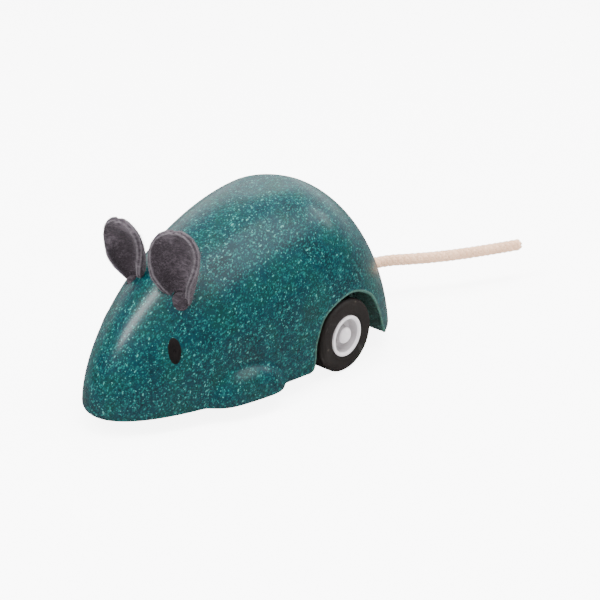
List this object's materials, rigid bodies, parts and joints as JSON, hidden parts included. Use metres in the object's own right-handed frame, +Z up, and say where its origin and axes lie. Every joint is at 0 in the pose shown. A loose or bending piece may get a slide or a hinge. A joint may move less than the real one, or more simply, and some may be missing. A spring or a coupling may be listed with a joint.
{
  "type": "pull-back clockwork toy mouse",
  "caption": "Toy mouse with a moulded composite body, felt ears, cord tail and a wheel-wound clockwork motor that drives its rear wheels.",
  "frame": {"origin": "on the floor plane under the middle of the body's length and width", "axes": "+X from the nose toward the tail, +Y toward the mouse's right side, +Z up"},
  "size_m": [0.1458, 0.0519, 0.0508],
  "materials": {
    "composite": "moulded wood fibre composite dyed teal, satin varnish",
    "eye": "matte",
    "felt": "charcoal wool felt",
    "cord": "braided cotton",
    "case_plastic": "moulded",
    "gear_plastic": "moulded",
    "spring_steel": "blued strip",
    "steel": "drawn",
    "bush_brass": "turned",
    "hub_plastic": "moulded satin white",
    "tyre_rubber": "matte soft rubber",
    "roller_plastic": "moulded"
  },
  "bodies": {
    "mouse": {"body_shell": "composite", "left_eye": "eye", "right_eye": "eye", "left_ear": "felt", "right_ear": "felt", "tail_cord": "cord", "motor_case": "case_plastic", "motor_cover": "case_plastic", "mainspring": "spring_steel", "intermediate_pin": "steel", "left_bush": "bush_brass", "right_bush": "bush_brass", "case_screws": "steel", "motor_screws": "steel", "roller_bracket": "steel", "roller_pin": "steel", "bracket_screws": "steel"},
    "wheelset": {"drive_axle": "steel", "axle_pinion": "gear_plastic", "left_hub": "hub_plastic", "right_hub": "hub_plastic", "left_tyre": "tyre_rubber", "right_tyre": "tyre_rubber"},
    "intermediate": {"intermediate_gear": "gear_plastic"},
    "winding": {"spring_gear": "gear_plastic", "spring_arbor": "steel"},
    "roller": {"front_roller": "roller_plastic"}
  },
  "joints": [
    {"name": "axle_spin", "type": "hinge", "parent": "mouse", "child": "wheelset", "pos_m": [0.016, 0, 0.01], "axis": [0, 1, 0], "continuous": true},
    {"name": "intermediate_spin", "type": "hinge", "parent": "mouse", "child": "intermediate", "pos_m": [0.00957, 0, 0.01766], "axis": [0, 1, 0], "continuous": true},
    {"name": "winding_spin", "type": "hinge", "parent": "mouse", "child": "winding", "pos_m": [-0.00293, 0, 0.01766], "axis": [0, 1, 0], "continuous": true},
    {"name": "roller_spin", "type": "hinge", "parent": "mouse", "child": "roller", "pos_m": [-0.02863, 0, 0.005], "axis": [0, 1, 0], "continuous": true}
  ],
  "couplings": [
    {"joint": "intermediate_spin", "follows": "axle_spin", "ratio": -0.33333},
    {"joint": "winding_spin", "follows": "axle_spin", "ratio": 0.083333}
  ]
}
